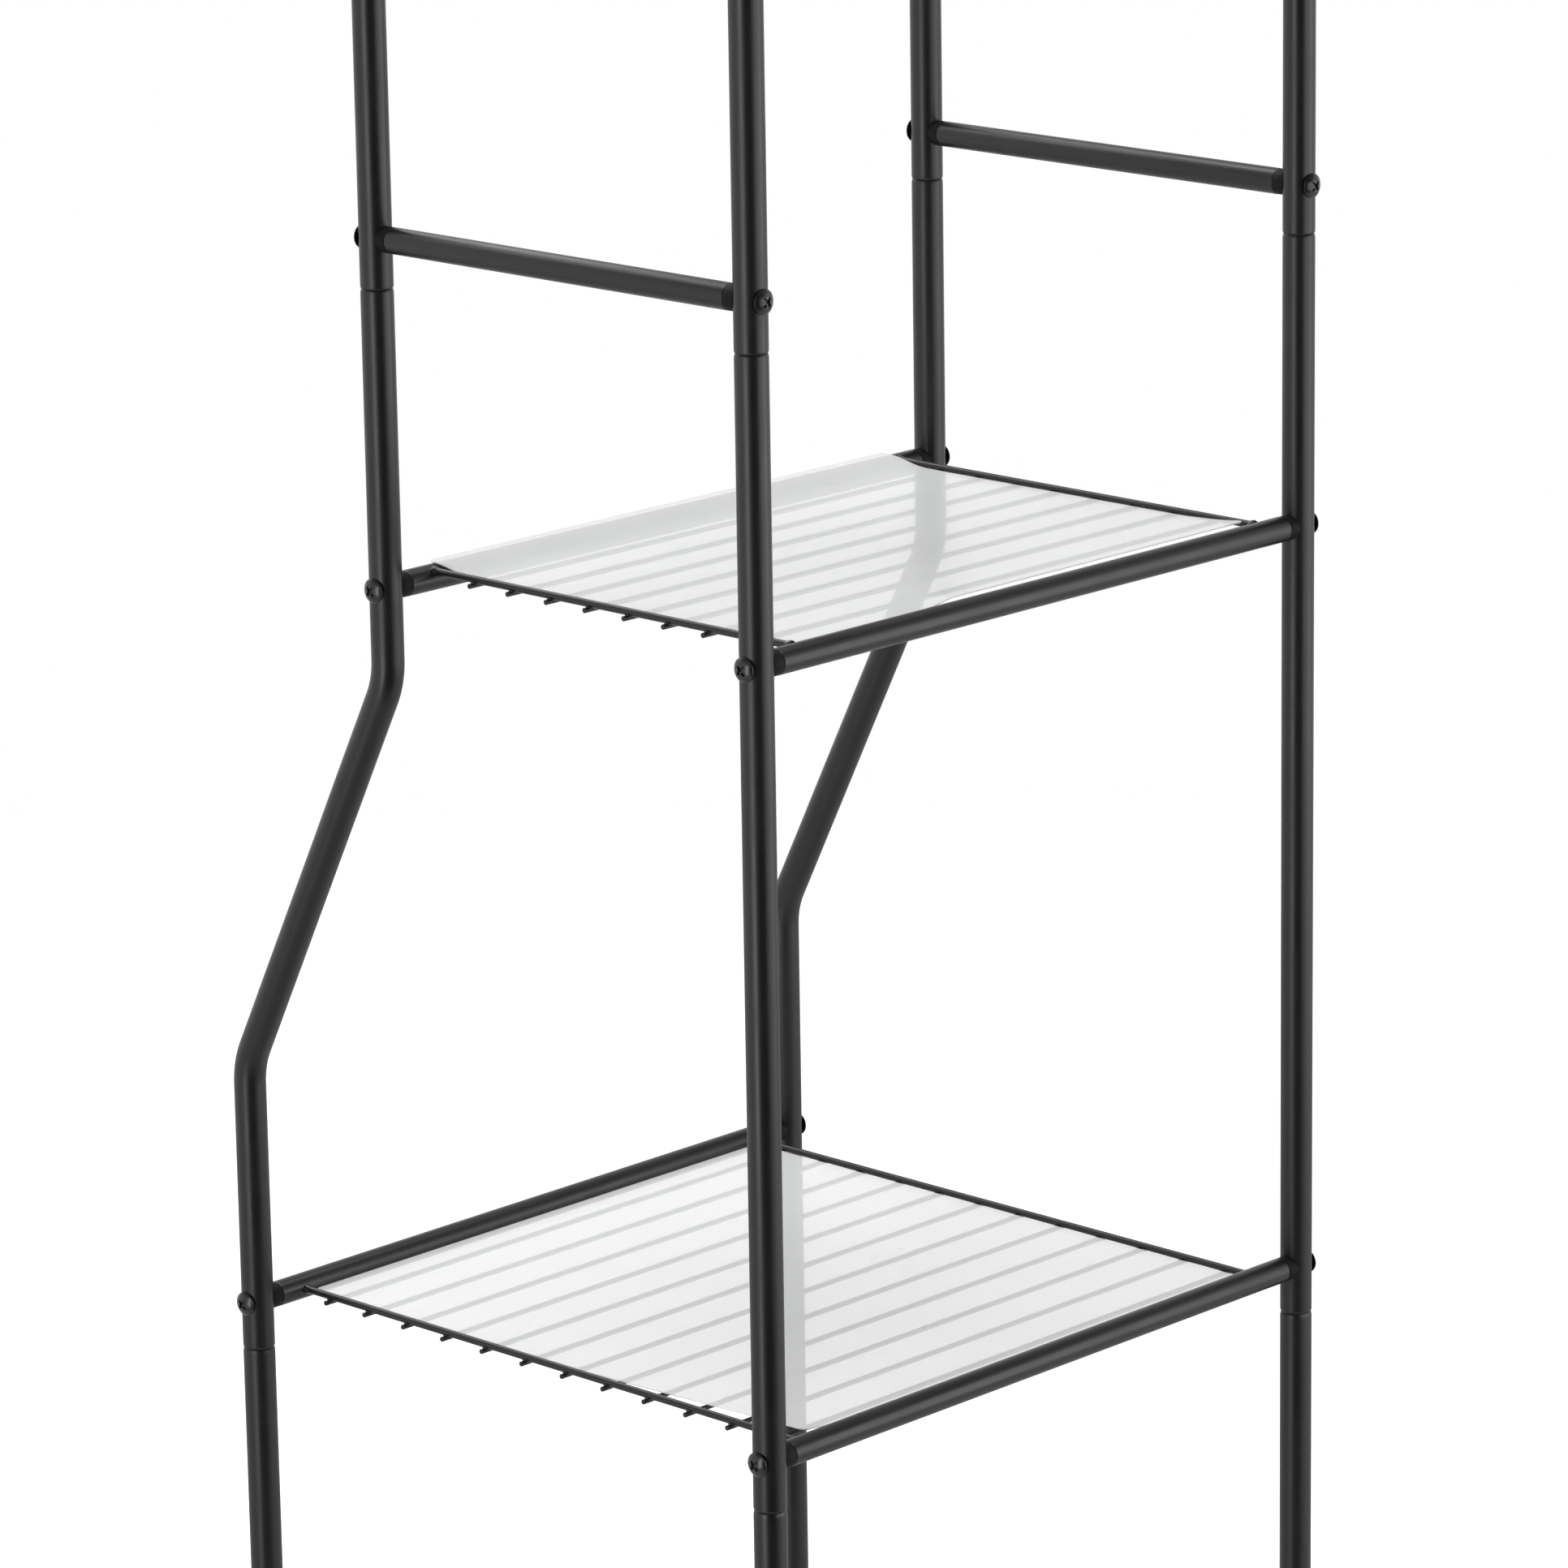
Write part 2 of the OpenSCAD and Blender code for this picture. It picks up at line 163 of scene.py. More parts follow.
def carried(profile, line, sides):
    # A profile of (distance, radius) carried along a line. Each ring stands square to the line:
    # point = centre(s) + radius * (cos a * side + sin a * up)
    s, radius = profile[:, 0], profile[:, 1]
    centre, side, up = line(s)
    a = np.linspace(0, 2 * np.pi, sides, endpoint=False)
    spoke = np.cos(a)[None, :, None] * side[:, None] + np.sin(a)[None, :, None] * up[:, None]
    return centre[:, None] + radius[:, None, None] * spoke


def faced(points, looped=False, wrapped=True):
    # The faces between neighbouring rows and columns of a grid of points.
    # Looped also joins the last row to the first, and wrapped the last column to the first.
    rows, columns = points.shape[:2]
    i = np.arange(rows if looped else rows - 1)[:, None]
    j = np.arange(columns if wrapped else columns - 1)[None, :]
    k, l = (i + 1) % rows, (j + 1) % columns
    quads = np.stack(np.broadcast_arrays(
        i * columns + j, i * columns + l, k * columns + l, k * columns + j), -1)
    return points.reshape(-1, 3), quads.reshape(-1, 4)


def makePiece(name, shells, material, node):
    # Joins shells of (points, faces) into one mesh, closes its poles, turns its faces outwards,
    # and lets it stand for a node on that node's body
    count = np.cumsum([0] + [len(points) for points, _ in shells])
    points = np.concatenate([points for points, _ in shells])
    quads = np.concatenate([faces + start for (_, faces), start in zip(shells, count)])
    mesh = bpy.data.meshes.new(name)
    mesh.from_pydata(points.tolist(), [], quads.tolist())
    work = bmesh.new()
    work.from_mesh(mesh)
    bmesh.ops.remove_doubles(work, verts=work.verts, dist=mergeDistance)
    bmesh.ops.recalc_face_normals(work, faces=work.faces)
    work.to_mesh(mesh)
    work.free()
    mesh.polygons.foreach_set("use_smooth", np.ones(len(mesh.polygons), bool))
    mesh.set_sharp_from_angle(angle=math.radians(sharpAngle))
    mesh.materials.append(material)
    piece = bpy.data.objects.new(name, mesh)
    bpy.context.scene.collection.objects.link(piece)
    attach(piece, bodyOf[node])
    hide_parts(node)
    return piece


bodies = frame["record"]["behaviour"]["bodies"]
bodyOf = {node: body for body, nodes in bodies.items() for node in nodes}


def corners(node):
    low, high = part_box(node)
    return np.array(low), np.array(high)


def middle(node):
    low, high = corners(node)
    return (low + high) / 2


post = {
    "sides": 72,
    "radius": 10 * mm,
    "wall": 1.2 * mm,
    "neckGap": 0.15 * mm,
    "neckLength": 25 * mm,
    "shoulder": (3.6 * mm, 1.0 * mm),   # height and width of the rounded shoulder under a neck
    "lip": (1.8 * mm, 0.8 * mm),        # height and width of the rolled-in end that sits on a shoulder
    "plainLip": (0.3 * mm, 0.3 * mm),
    "bendRadius": 55 * mm,
    "upperBendDrop": 57 * mm,           # below the upper shelf's rail axes
    "lowerBendRise": 155 * mm,          # above the lower shelf's rail axes
    "longest": 0.9,                     # metres of bent line worked out, more than a post needs
    "step": 0.05 * mm,
    "neckRim": 0.6 * mm,                # the chamfer at a neck's tip
}


def tubeProfile(length, outer, bore, startLip, endLip, stops=()):
    # Outside from end to end between two quarter-ellipse lips, then back along the bore
    first = arcRun((startLip[0], outer - startLip[1]), startLip, 180, 90)
    last = arcRun((length - endLip[0], outer - endLip[1]), endLip, 90, 0)
    between = np.array([(s, outer) for s in stops]).reshape(-1, 2)
    return np.concatenate([first, between, last, [(length, bore), (0, bore)]])


def neckedProfile(length, startLip, stops=()):
    # A tube that ends in a shoulder and a narrowed neck, which plugs into the tube above
    outer, bore = post["radius"], post["radius"] - post["wall"]
    neck = bore - post["neckGap"]
    tip = length + post["neckLength"]
    rim = post["neckRim"]
    tube = tubeProfile(length, outer, bore, startLip, post["shoulder"], stops)
    narrowed = [(length, neck), (tip - rim, neck), (tip, neck - rim), (tip, neck - post["wall"]),
                (length, neck - post["wall"]), (length - post["shoulder"][0], bore)]
    inside = np.array([(s, bore) for s in stops[::-1]]).reshape(-1, 2)
    return np.concatenate([tube[:-2], narrowed, inside, tube[-1:]])


def bentLine(x, foot, frontY, upperY, lowBendZ, highBendZ):
    # A line that rises, leans towards the wall between two bends and rises again.
    # Its lean goes evenly from 0 to the slope's angle over each arc, and its place is the running
    # sum of the lean's sine and cosine.
    lean = math.atan2(upperY - frontY, highBendZ - lowBendZ)
    tangent = post["bendRadius"] * math.tan(lean / 2)
    arc = post["bendRadius"] * lean
    slope = math.hypot(upperY - frontY, highBendZ - lowBendZ) - 2 * tangent
    marks = np.cumsum([lowBendZ - tangent - foot, arc, slope, arc])
    s = np.arange(0, post["longest"], post["step"])
    angle = np.interp(s, marks, [0, lean, lean, 0])
    steps = np.diff(s, prepend=0)
    y = frontY + np.cumsum(np.sin(angle) * steps)
    z = foot + np.cumsum(np.cos(angle) * steps)

    def line(distance):
        tilt = np.interp(distance, s, angle)
        flat = np.zeros_like(distance)
        centre = np.column_stack([flat + x, np.interp(distance, s, y), np.interp(distance, s, z)])
        side = np.column_stack([flat + 1, flat, flat])
        up = np.column_stack([flat, np.cos(tilt), -np.sin(tilt)])
        return centre, side, up
    stops = np.concatenate([np.linspace(marks[0], marks[1], 15), np.linspace(marks[2], marks[3], 15)])
    return line, stops, marks[3], float(np.interp(marks[3], s, z))


def makePosts():
    shelfZ = {shelf: middle(shelf + "_rail_rear")[2] for shelf in ("lower", "upper")}
    for end in ("rear", "front"):
        for side in ("left", "right"):
            corner = f"{end}_{side}"
            for part in ("leg", "post", "top_post"):
                node = f"{part}_{corner}"
                low, high = corners(node)
                x = (low[0] + high[0]) / 2
                top = high[2] if part == "top_post" else high[2] - post["neckLength"]
                lip = post["plainLip"] if part == "leg" else post["lip"]
                if node.startswith("post_front"):
                    line, stops, bendEnd, bendEndZ = bentLine(
                        x, low[2], low[1] + post["radius"], high[1] - post["radius"],
                        shelfZ["lower"] + post["lowerBendRise"], shelfZ["upper"] - post["upperBendDrop"])
                    profile = neckedProfile(bendEnd + top - bendEndZ, lip, stops)
                else:
                    y = (low[1] + high[1]) / 2
                    line = straightLine((x, y, low[2]), (x, y, top))
                    if part == "top_post":
                        profile = tubeProfile(top - low[2], post["radius"], post["radius"] - post["wall"],
                                              lip, post["plainLip"])
                    else:
                        profile = neckedProfile(top - low[2], lip)
                shell = faced(carried(profile, line, post["sides"]), looped=True)
                makePiece(f"{corner}_{part}_tube", [shell], powderCoat, node)


makePosts()
print("posts and legs made")


rail = {
    "sides": 64,
    "radius": 8 * mm,
    "wall": 1 * mm,
    "lip": (1.1 * mm, 0.8 * mm),    # the tube's cut end, rolled over and coated thick
    "postToEnd": 15 * mm,           # from a post's axis to the end of a rail
}
railsOf = {
    "lower_rail": ["lower_rail_front", "lower_rail_rear"],
    "upper_rail": ["upper_rail_front", "upper_rail_rear"],
    "top_rail": ["top_rail_front", "top_rail_rear"],
    "side_bar": ["side_bar_left", "side_bar_right"],
    "low_bar": ["low_side_bar_left", "low_side_bar_right", "low_rear_bar"],
}


def barEnds(node):
    # Both ends of a rail: each as a point on the post's axis, and the direction along the rail from there
    low, high = corners(node)
    centre = (low + high) / 2
    along = np.eye(3)[np.argmax(high - low)]
    reach = (high - low).max() / 2
    return [(centre - sign * (reach + rail["postToEnd"]) * along, sign * along) for sign in (1, -1)]


def placed(points, origin, along):
    # Turns points so that local X lies along a level direction, and moves them to an origin
    across = np.cross([0, 0, 1], along)
    return origin + points @ np.array([along, across, [0, 0, 1]])


plug = {
    "sides": 64,
    "radius": 7.9 * mm,
    "saddle": 10.1 * mm,        # radius of the hollow that fits round a post
    "edge": 0.35 * mm,
    "stemRadius": 6.9 * mm,
    "stemEnd": 35 * mm,
}


def plugShell():
    # A collar whose inner face is cut by the post's cylinder, x = sqrt(saddle^2 - y^2),
    # and a stem in the rail
    a = np.linspace(0, 2 * np.pi, plug["sides"], endpoint=False)
    edge, radius = plug["edge"], plug["radius"]
    turns = np.radians([30, 60, 90])
    flat = np.linspace(0, radius - edge, 9)
    saddleRadii = np.concatenate([flat, radius - edge + edge * np.sin(turns)])
    inset = np.concatenate([np.zeros_like(flat), edge * (1 - np.cos(turns))])
    y = saddleRadii[:, None] * np.cos(a)
    x = np.sqrt(plug["saddle"] ** 2 - y ** 2) + inset[:, None]
    saddle = np.stack([x, y, saddleRadii[:, None] * np.sin(a)], -1)
    end = rail["postToEnd"]
    outline = np.array([
        (end - edge, radius), (end - 0.3 * edge, radius - 0.3 * edge), (end, radius - edge),
        (end, plug["stemRadius"]), (plug["stemEnd"] - edge, plug["stemRadius"]),
        (plug["stemEnd"], plug["stemRadius"] - edge), (plug["stemEnd"], 0)])
    x = np.broadcast_to(outline[:, :1], (len(outline), len(a)))
    body = np.stack([x, outline[:, 1:] * np.cos(a), outline[:, 1:] * np.sin(a)], -1)
    return np.concatenate([saddle, body])


screw = {
    "sides": 96,
    "headRadius": 7.5 * mm,
    "headHeight": 3.6 * mm,
    "rimHeight": 0.7 * mm,
    "shankRadius": 3 * mm,
    "shankLength": 42 * mm,
    "recessDepth": 1.9 * mm,
    "armHalfLength": 3.7 * mm,
    "armHalfWidth": 0.62 * mm,
    "armFlare": 0.75 * mm,      # how much wider each arm is at the middle
    "wallSlope": 0.25 * mm,     # over which the recess's walls fall
    "endDepth": 0.62,           # the recess's depth at an arm's end, as a share of its depth at the middle
}


def recessDepth(p, q):
    # One arm of the cross along p: its half width grows towards the middle, its floor rises to the ends,
    # and its walls slope
    slope = screw["wallSlope"]
    reach = np.clip(1 - np.abs(p) / screw["armHalfLength"], 0, 1)
    halfWidth = screw["armHalfWidth"] + screw["armFlare"] * reach ** 2.2
    wall = np.clip((halfWidth - np.abs(q)) / slope + 0.5, 0, 1)
    end = np.clip((screw["armHalfLength"] - np.abs(p)) / slope, 0, 1)
    floor = screw["endDepth"] + (1 - screw["endDepth"]) * reach
    return screw["recessDepth"] * floor * wall * end


def screwShell():
    # A dome of height h(r) less the cross recess, a short rim, a flat underside and a shank
    a = np.linspace(0, 2 * np.pi, screw["sides"], endpoint=False)
    dome = screw["headHeight"] - screw["rimHeight"]
    ball = (screw["headRadius"] ** 2 + dome ** 2) / (2 * dome)
    r = np.concatenate([np.linspace(0, 4.2, 29), np.linspace(4.5, 7.5, 9)]) * mm
    y, z = r[:, None] * np.cos(a), r[:, None] * np.sin(a)
    p, q = (y + z) / math.sqrt(2), (y - z) / math.sqrt(2)
    height = screw["headHeight"] - ball + np.sqrt(ball ** 2 - r[:, None] ** 2)
    height = height - np.maximum(recessDepth(p, q), recessDepth(q, p))
    top = np.stack([-post["radius"] - height, y, z], -1)
    outline = np.array([
        (-0.55 * screw["rimHeight"], screw["headRadius"] + 0.05 * mm), (-0.2 * mm, screw["headRadius"]),
        (0, screw["headRadius"] - 0.25 * mm), (0, screw["shankRadius"]),
        (screw["shankLength"], screw["shankRadius"]), (screw["shankLength"], 0)])
    x = np.broadcast_to(outline[:, :1] - post["radius"], (len(outline), len(a)))
    under = np.stack([x, outline[:, 1:] * np.cos(a), outline[:, 1:] * np.sin(a)], -1)
    return np.concatenate([top, under])


def makeRails():
    for group, nodes in railsOf.items():
        for node in nodes:
            (start, along), (end, _) = barEnds(node)
            line = straightLine(start + along * rail["postToEnd"], end - along * rail["postToEnd"])
            length = np.abs(end - start).max() - 2 * rail["postToEnd"]
            bore = rail["radius"] - rail["wall"]
            profile = tubeProfile(length, rail["radius"], bore, rail["lip"], rail["lip"])
            makePiece(f"{node}_tube", [faced(carried(profile, line, rail["sides"]), looped=True)],
                      powderCoat, node)
        ends = [end for node in nodes for end in barEnds(node)]
        plugs = [faced(placed(plugShell(), *end)) for end in ends]
        screws = [faced(placed(screwShell(), *end)) for end in ends]
        makePiece(f"{group}_end_plugs", plugs, plugPlastic, f"{group}_plugs")
        makePiece(f"{group}_cross_screws", screws, screwLacquer, f"{group}_screws")


makeRails()
print("rails, plugs and screws made")


wire = {
    "sides": 20,
    "thinRadius": 1.6 * mm,
    "thickRadius": 2.3 * mm,
    "endInset": 35 * mm,        # from the post axes to the end wires
    "nugget": np.array([2.5, 2.4, 1.5]) * mm,   # radii of the weld where two wires cross
    "margin": 26 * mm,          # least distance from a rail's axis to a thin wire
    "pitch": {"lower": 35 * mm, "upper": 32.4 * mm, "top": 32.4 * mm},
    "weldFlare": 0.9 * mm,      # how far a weld stands out from the wire
    "weldLength": 2.2 * mm,
    "sink": 1.2 * mm,           # how far a thick wire runs into a rail
}


def rodProfile(length, radius, rounding=0.4 * mm):
    # A solid rod with rounded ends, closed on its axis
    return np.concatenate([
        [(0, 0)], arcRun((rounding, radius - rounding), (rounding, rounding), 180, 90, 4),
        arcRun((length - rounding, radius - rounding), (rounding, rounding), 90, 0, 4), [(length, 0)]])


def weldedProfile(length, radius):
    # A rod whose radius swells near each end as a bell curve, where the weld meets the rail
    fine = np.linspace(0, 6, 13) * mm
    plain = 10 * mm
    s = np.concatenate([fine, [plain, length - plain], length - fine[::-1]])
    near = np.minimum(s, length - s) - wire["sink"]
    swell = wire["weldFlare"] * np.exp(-(near / wire["weldLength"]) ** 2)
    return np.concatenate([[(0, 0)], np.column_stack([s, radius + swell]), [(length, 0)]])


def nugget(centre, radii):
    # A flattened ball of weld metal: the unit sphere's rings, scaled along each axis
    t = np.linspace(0, np.pi, 9)[:, None]
    a = np.linspace(0, 2 * np.pi, 14, endpoint=False)
    ball = np.stack([np.sin(t) * np.cos(a), np.sin(t) * np.sin(a), np.cos(t) + 0 * a], -1)
    return centre + ball * radii


def makeWires(shelf):
    low, high = corners(f"{shelf}_wires")
    front, rear = middle(f"{shelf}_rail_front"), middle(f"{shelf}_rail_rear")
    halfWidth = -low[0]
    endX = middle("post_rear_right")[0] - wire["endInset"]
    thinZ = low[2] + wire["thinRadius"]
    thickZ = high[2] - wire["thickRadius"]
    gap = math.sqrt(rail["radius"] ** 2 - (thickZ - front[2]) ** 2) - wire["sink"]
    y0, y1 = front[1] + gap, rear[1] - gap
    shells = []
    for x in (-endX, endX):
        line = straightLine((x, y0, thickZ), (x, y1, thickZ))
        shells.append(faced(carried(weldedProfile(y1 - y0, wire["thickRadius"]), line, wire["sides"])))
    pitch = wire["pitch"][shelf]
    count = int((rear[1] - front[1] - 2 * wire["margin"]) / pitch) + 1
    for i in range(count):
        y = (front[1] + rear[1]) / 2 + (i - (count - 1) / 2) * pitch
        line = straightLine((-halfWidth, y, thinZ), (halfWidth, y, thinZ))
        shells.append(faced(carried(rodProfile(2 * halfWidth, wire["thinRadius"]), line, wire["sides"])))
        for x in (-endX, endX):
            spot = np.array([x, y, (thinZ + thickZ) / 2])
            shells.append(faced(nugget(spot, wire["nugget"])))
    makePiece(f"{shelf}_wire_grid", shells, wireCoat, f"{shelf}_wires")


for shelf in ("lower", "upper", "top"):
    makeWires(shelf)
print("wires made")


liner = {
    "columns": 81,
    "rows": 91,
    "thickness": 1 * mm,
    "edge": 0.5 * mm,           # radius of the rounded edges
    "corner": 5 * mm,           # radius of the sheet's corners
    "lapRun": 34 * mm,
    # how far a free corner curls up
    "lift": {"lower": 7.0 * mm, "upper": 0.8 * mm, "top": 0.6 * mm},
    "edgeRise": {"lower": 0, "upper": 3.6 * mm, "top": 0},      # how far the rear edge stands up
    "edgeRun": 60 * mm,         # how far in from the rear edge that rise reaches
    "ripple": 0.12 * mm,        # how far the sheet stands up between two wires
    "frostSize": 1.2 * mm,
    "cloudSize": 90 * mm,
    "scatter": 0.59,            # the share of light each face scatters; the rest goes straight through
}


def frostedSheet():
    # Frosted polypropylene sheet, extruded with a ground roller: milky white, half gloss,
    # and what lies against it shows through as soft grey shapes
    material = bpy.data.materials.new("frosted_polypropylene")
    material.use_nodes = True
    tree = material.node_tree
    principled = tree.nodes["Principled BSDF"]
    place = addNode(tree, "ShaderNodeTexCoord").outputs["Object"]
    frost = addNode(tree, "ShaderNodeTexNoise", {
        "Vector": place, "Scale": 1 / liner["frostSize"], "Detail": 2})
    cloud = addNode(tree, "ShaderNodeTexNoise", {
        "Vector": place, "Scale": 1 / liner["cloudSize"], "Detail": 2})
    tone = addNode(tree, "ShaderNodeMix", {
        "Factor": cloud.outputs["Fac"], "A": toLinear("#eaebeb"), "B": toLinear("#f0f1f1")},
        data_type="RGBA")
    gloss = addNode(tree, "ShaderNodeMapRange", {
        "Value": cloud.outputs["Fac"], "From Min": 0.3, "From Max": 0.7, "To Min": 0.27, "To Max": 0.33})
    relief = addNode(tree, "ShaderNodeBump", {
        "Height": frost.outputs["Fac"], "Strength": 0.04, "Distance": bumpDepth})
    tree.links.new(tone.outputs["Result"], principled.inputs["Base Color"])
    tree.links.new(gloss.outputs["Result"], principled.inputs["Roughness"])
    tree.links.new(relief.outputs["Normal"], principled.inputs["Normal"])
    principled.inputs["IOR"].default_value = 1.49
    principled.inputs["Alpha"].default_value = liner["scatter"]
    return material


frosted = frostedSheet()


def linerShell(shelf):
    # A slab over (u, v): x = u * half width, which shrinks at the corners as a quarter circle,
    # and y goes from edge to edge.
    # Its middle height is the CAD sheet's, plus a ripple between the wires, a curl towards one corner
    # and a rise towards the rear edge,
    # and its half thickness falls to nothing over each edge as a quarter circle.
    low, high = corners(f"{shelf}_liner")
    front = middle(f"{shelf}_rail_front")
    half = liner["thickness"] / 2
    climb = high[2] - low[2] - 2 * half
    clustered = np.sin(np.linspace(-1, 1, 11) * np.pi / 2)
    margin = 0.03
    u = np.concatenate([
        -1 + margin * (1 + clustered[:10]) / 2,
        np.linspace(-1 + margin / 2, 1 - margin / 2, liner["columns"])])
    u = np.unique(np.round(np.concatenate([u, -u, [-1, 1]]), 6))
    v = np.linspace(low[1], high[1], liner["rows"])
    fine = np.linspace(0, 1, 12) ** 2 * liner["corner"]
    v = np.unique(np.round(np.concatenate([v, low[1] + fine, high[1] - fine]), 7))
    fromEdge = np.minimum(v - low[1], high[1] - v)
    d = np.clip(liner["corner"] - fromEdge, 0, liner["corner"])
    halfWidth = high[0] - liner["corner"] + np.sqrt(liner["corner"] ** 2 - d ** 2)
    x = u[:, None] * halfWidth[None, :]
    y = np.broadcast_to(v, x.shape)
    if climb > mm:
        t = np.clip((front[1] + liner["lapRun"] - y) / liner["lapRun"], 0, 1)
    else:
        t = np.zeros_like(x)
    z = low[2] + half + climb * t * t * (3 - 2 * t)
    pitch = wire["pitch"][shelf]
    z = z + liner["ripple"] * np.sin(np.pi * y / pitch) ** 2 * (1 - t)
    curlX = np.clip((x - 0.4 * high[0]) / (0.6 * high[0]), 0, 1)
    curlY = np.clip((y - v.mean()) / (v[-1] - v.mean()), 0, 1)
    z = z + liner["lift"][shelf] * curlX ** 2 * curlY
    along = np.clip((0.45 * high[0] - x) / (0.15 * high[0]), 0, 1)
    near = np.clip((y - high[1] + liner["edgeRun"]) / liner["edgeRun"], 0, 1)
    z = z + liner["edgeRise"][shelf] * along * along * (3 - 2 * along) * near ** 2
    inX = (1 - np.abs(u[:, None])) * halfWidth
    inY = np.broadcast_to(fromEdge, x.shape)
    inward = 1 - np.clip(np.minimum(inX, inY) / liner["edge"], 0, 1)
    thick = half * np.sqrt(1 - inward ** 2)
    top = np.stack([x, y, z + thick], -1)
    bottom = np.stack([x, y, z - thick], -1)
    return [faced(top, wrapped=False), faced(bottom, wrapped=False)]


for shelf in ("lower", "upper", "top"):
    makePiece(f"{shelf}_frosted_sheet", linerShell(shelf), frosted,
              f"{shelf}_liner")
print("liners made")


cap = {
    "sides": 72,
    "radius": 10.4 * mm,
    "rim": 1.0 * mm,
    "depth": 22 * mm,
    "stemRadius": 8.7 * mm,
}
foot = {
    "sides": 64,
    "stemRadius": 4 * mm,
    "threadPitch": 1.25 * mm,
    "threadDepth": 0.35 * mm,
    "padBevel": 1.5 * mm,
    "padHeight": 7 * mm,
    "socketStem": 8.7 * mm,
    "socketRim": 3 * mm,
    "socketDepth": 22 * mm,
    "gap": 0.3 * mm,
}


def capProfile(height):
    # A stem inside the post, a small undercut, a rim and a quarter-ellipse dome
    dome = arcRun((cap["rim"], 0), (height - cap["rim"], cap["radius"]), 90, 0, 17)
    return np.concatenate([
        [(-cap["depth"], 0), (-cap["depth"], cap["stemRadius"] - mm),
         (-cap["depth"] + 2 * mm, cap["stemRadius"]),
         (0, cap["stemRadius"]), (0, cap["radius"] - 0.3 * mm), (0.3 * mm, cap["radius"])], dome])


def socketProfile():
    # A flanged sleeve: rim under the leg, stem inside it, and a bore for the foot's thread
    bore, edge = foot["stemRadius"] + foot["gap"], 0.4 * mm
    return np.array([
        (-foot["socketRim"], bore), (-foot["socketRim"], post["radius"] - edge),
        (-foot["socketRim"] + 0.3 * edge, post["radius"] - 0.3 * edge),
        (-foot["socketRim"] + edge, post["radius"]),
        (-edge, post["radius"]), (0, post["radius"] - edge), (0, foot["socketStem"]),
        (foot["socketDepth"], foot["socketStem"]), (foot["socketDepth"], bore)])


def footShell(x, y, top):
    # A bevelled pad and a threaded stem. The thread is a helix: the stem's radius follows
    # a triangle wave of s / pitch - a / turn.
    bevel, height = foot["padBevel"], foot["padHeight"]
    low, high = corners("foot_rear_left")
    padRadius = (high[0] - low[0]) / 2
    pad = np.concatenate([
        [(0, 0), (0, padRadius - bevel)],
        arcRun((bevel / 2, padRadius - bevel / 2), (bevel / 2, bevel / 2), 180, 90, 5),
        arcRun((height - 2 * bevel, padRadius - bevel), (bevel, bevel), 90, 0, 6),
        arcRun((height, padRadius - 3 * bevel), (bevel, bevel), 180, 270, 5)])
    s = np.arange(height + 0.2 * mm, top - 0.8 * mm, foot["threadPitch"] / 6)
    stem = np.column_stack([s, np.full_like(s, foot["stemRadius"])])
    profile = np.concatenate([
        pad, [(height, foot["stemRadius"])], stem,
        [(top, foot["stemRadius"] - 0.8 * mm), (top, 0)]])
    line = straightLine((x, y, 0), (x, y, 1))
    rings = carried(profile, line, foot["sides"])
    a = np.linspace(0, 1, foot["sides"], endpoint=False)
    turn = profile[:, :1] / foot["threadPitch"] - a
    wave = np.abs((turn % 1) - 0.5) * 2
    threaded = (profile[:, :1] > height + 0.1 * mm) & (profile[:, :1] < top - 0.9 * mm)
    shrink = 1 - np.where(threaded, wave * foot["threadDepth"] / foot["stemRadius"], 0)
    axis = np.array([x, y, 0])
    flat = rings[..., :2] - axis[:2]
    rings[..., :2] = axis[:2] + flat * shrink[..., None]
    return faced(rings)


for end in ("rear", "front"):
    for side in ("left", "right"):
        corner = f"{end}_{side}"
        x, y, _ = middle(f"top_post_{corner}")
        postTop = corners(f"top_post_{corner}")[1][2]
        line = straightLine((x, y, postTop), (x, y, postTop + 1))
        height = corners(f"top_cap_{corner}")[1][2] - postTop
        makePiece(f"{corner}_domed_cap", [faced(carried(capProfile(height), line, cap["sides"]))],
                  plugPlastic, f"top_cap_{corner}")
        x, y, _ = middle(f"leg_{corner}")
        legEnd = corners(f"leg_{corner}")[0][2]
        line = straightLine((x, y, legEnd), (x, y, legEnd + 1))
        sleeve = faced(carried(socketProfile(), line, foot["sides"]), looped=True)
        makePiece(f"{corner}_foot_sleeve", [sleeve],
                  plugPlastic, f"foot_socket_{corner}")
        top = corners(f"foot_{corner}")[1][2]
        makePiece(f"{corner}_levelling_foot", [footShell(x, y, top)],
                  footRubber, f"foot_{corner}")
print("caps and feet made")


view = {
    "lens": 167.7,          # millimetres on a 36 mm sensor
    "yaw": 46.09,           # degrees, from looking along -Y towards -X
    "pitch": 14.65,         # degrees below level
    "roll": 0.89,
    "distance": 4.5,       # metres from the point aimed at
    "aim": (0.0005, 0.0117, 0.2102),      # from the middle of the rack, metres
}


def compass(degreesRight):
    # A level direction seen from the rack: 0 is towards the camera, 90 is to the camera's right
    yaw, turn = math.radians(view["yaw"]), math.radians(degreesRight)
    back = np.array([math.sin(yaw), math.cos(yaw), 0])
    right = np.array([-math.cos(yaw), math.sin(yaw), 0])
    return back * math.cos(turn) + right * math.sin(turn)


rackMiddle = np.array((cadBox[0] + cadBox[1]) / 2)


